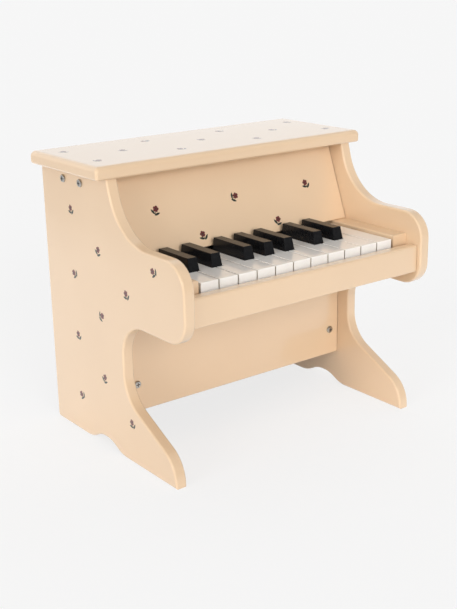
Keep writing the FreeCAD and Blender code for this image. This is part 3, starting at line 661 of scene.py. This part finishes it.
def make_table():
    shape = bmesh.new()
    bmesh.ops.create_grid(shape, x_segments=1, y_segments=1, size=TABLE_HALF_SIZE)
    mesh = bpy.data.meshes.new("studio_floor")
    shape.to_mesh(mesh)
    shape.free()
    table = bpy.data.objects.new("studio_floor", mesh)
    bpy.context.scene.collection.objects.link(table)
    material, tree, shader, place = new_finish("studio_table_top")
    set_shader(shader, Roughness=TABLE_ROUGHNESS, Specular_IOR_Level=0.0, Emission_Color=WHITE)
    path = tree.nodes.new("ShaderNodeLightPath")
    seen = path.outputs["Is Camera Ray"]
    tree.links.new(map_range(tree, seen, 0.0, 1.0, TABLE_WHITE, TABLE_SHOWN), shader.inputs["Base Color"])
    shine = arithmetic(tree, "MULTIPLY", table_edge(tree, place, "X", TABLE_LEFT_EDGE, TABLE_SHINE),
                       table_edge(tree, place, "Y", TABLE_FRONT_EDGE, 1.0))
    shown = arithmetic(tree, "MULTIPLY", seen, BACKGROUND - TABLE_SHOWN * TABLE_DAYLIGHT)
    mirrored = arithmetic(tree, "MULTIPLY", mirrored_rays(tree, path), shine)
    glow = arithmetic(tree, "ADD", shown, mirrored)
    tree.links.new(glow, shader.inputs["Emission Strength"])
    mesh.materials.append(material)


make_table()

# Room: a dim room with soft light from overhead and from behind at the right.
# The lacquer mirrors a bright backdrop behind, paler walls at the sides and two round windows.
# The camera sees one pale tone.

OVERHEAD_LIGHT = 0.50
OVERHEAD_FULLY = 0.6
BEHIND_LIGHT = 1.00
BEHIND_PLACE = (135.0, 15.0)
BEHIND_RIM = 78.0
BEHIND_CORE = 40.0
ROOM_SHINE = 0.33
BACKDROP_SHINE = 1.06
BACKDROP_FROM = 0.1
BACKDROP_FULLY = 0.6
WALL_SHINE = 0.85
WALL_FROM = 0.64
WALL_FULLY = 0.92
WINDOWS = ((-80.0, 12.0, 2.6), (-15.0, 28.0, 2.2))
WINDOW_RIM = 14.0
WINDOW_GLASS = 9.0


def towards(azimuth, elevation):
    """Unit vector to a place round the piano: azimuth 0 is the player's side, 90 the right."""
    turn = math.radians(azimuth)
    rise = math.radians(elevation)
    return Vector((math.sin(turn) * math.cos(rise), -math.cos(turn) * math.cos(rise), math.sin(rise)))


def bright_round(tree, outlook, place, rim, core, shine):
    """A round bright part of the room; rim and core are the angles from its middle."""
    turn = tree.nodes.new("ShaderNodeVectorMath")
    turn.operation = "DOT_PRODUCT"
    turn.inputs[1].default_value = towards(*place)
    tree.links.new(outlook, turn.inputs[0])
    dim = math.cos(math.radians(rim))
    full = math.cos(math.radians(core))
    return map_range(tree, turn.outputs["Value"], dim, full, 0.0, shine)


def room_light(tree, outlook):
    """What lights the piano."""
    overhead = map_range(tree, axis_of(tree, outlook, "Z"), 0.0, OVERHEAD_FULLY, 0.0, OVERHEAD_LIGHT)
    behind = bright_round(tree, outlook, BEHIND_PLACE, BEHIND_RIM, BEHIND_CORE, BEHIND_LIGHT)
    return arithmetic(tree, "MAXIMUM", overhead, behind)


def room_mirrored(tree, outlook):
    """What the lacquer mirrors."""
    backwards = axis_of(tree, outlook, "Y")
    sideways = arithmetic(tree, "ABSOLUTE", axis_of(tree, outlook, "X"))
    backdrop = map_range(tree, backwards, BACKDROP_FROM, BACKDROP_FULLY, ROOM_SHINE, BACKDROP_SHINE)
    walls = map_range(tree, sideways, WALL_FROM, WALL_FULLY, ROOM_SHINE, WALL_SHINE)
    room = arithmetic(tree, "MAXIMUM", backdrop, walls)
    for azimuth, elevation, shine in WINDOWS:
        pane = bright_round(tree, outlook, (azimuth, elevation), WINDOW_RIM, WINDOW_GLASS, shine)
        room = arithmetic(tree, "MAXIMUM", room, pane)
    return room


def make_room():
    world = bpy.data.worlds.new("studio_room")
    world.use_nodes = True
    bpy.context.scene.world = world
    tree = world.node_tree
    path = tree.nodes.new("ShaderNodeLightPath")
    outlook = tree.nodes.new("ShaderNodeTexCoord").outputs["Generated"]
    light = tree.nodes["Background"]
    mirrored = tree.nodes.new("ShaderNodeBackground")
    seen = tree.nodes.new("ShaderNodeBackground")
    for shade in (light, mirrored, seen):
        shade.inputs["Color"].default_value = WHITE
    tree.links.new(room_light(tree, outlook), light.inputs["Strength"])
    tree.links.new(room_mirrored(tree, outlook), mirrored.inputs["Strength"])
    seen.inputs["Strength"].default_value = BACKGROUND
    shown = light.outputs["Background"]
    for rays, shade in ((mirrored_rays(tree, path), mirrored), (path.outputs["Is Camera Ray"], seen)):
        mix = tree.nodes.new("ShaderNodeMixShader")
        tree.links.new(rays, mix.inputs["Fac"])
        tree.links.new(shown, mix.inputs[1])
        tree.links.new(shade.outputs["Background"], mix.inputs[2])
        shown = mix.outputs["Shader"]
    tree.links.new(shown, tree.nodes["World Output"].inputs["Surface"])


make_room()

# Lamps: two low soft lamps, one at the player's left and one in front.
# They light the boards without a mirrored spot, because the windows stand for them in the gloss.

LAMP_SOFTNESS = 34.0


def add_lamp(name, azimuth, elevation, strength):
    lamp = bpy.data.lights.new(name, "SUN")
    lamp.energy = strength
    lamp.angle = math.radians(LAMP_SOFTNESS)
    sun = bpy.data.objects.new(name, lamp)
    bpy.context.scene.collection.objects.link(sun)
    sun.visible_glossy = False
    sun.rotation_euler = towards(azimuth, elevation).to_track_quat("Z", "Y").to_euler()


add_lamp("side_lamp", azimuth=-80.0, elevation=12.0, strength=1.62)
add_lamp("front_lamp", azimuth=-12.0, elevation=15.0, strength=1.70)

# Camera: at the player's left, a little above the lid, looking down at the keys.
# Its place, turn and lens were fitted to the straight edges of the cabinet.

CAMERA_PLACE = Vector((-0.6768, -0.8795, 0.4868))
CAMERA_AZIMUTH = -37.04
CAMERA_ELEVATION = 17.85
CAMERA_ROLL = -1.04
CAMERA_LENS = 63.27

lens = bpy.data.cameras.new("camera")
lens.lens = CAMERA_LENS
camera = bpy.data.objects.new("camera", lens)
bpy.context.scene.collection.objects.link(camera)
aim = towards(CAMERA_AZIMUTH, CAMERA_ELEVATION).to_track_quat("Z", "Y").to_matrix().to_4x4()
roll = Matrix.Rotation(math.radians(CAMERA_ROLL), 4, "Z")
camera.matrix_world = Matrix.Translation(CAMERA_PLACE) @ aim @ roll
bpy.context.scene.camera = camera
bpy.context.scene.view_settings.view_transform = "Standard"
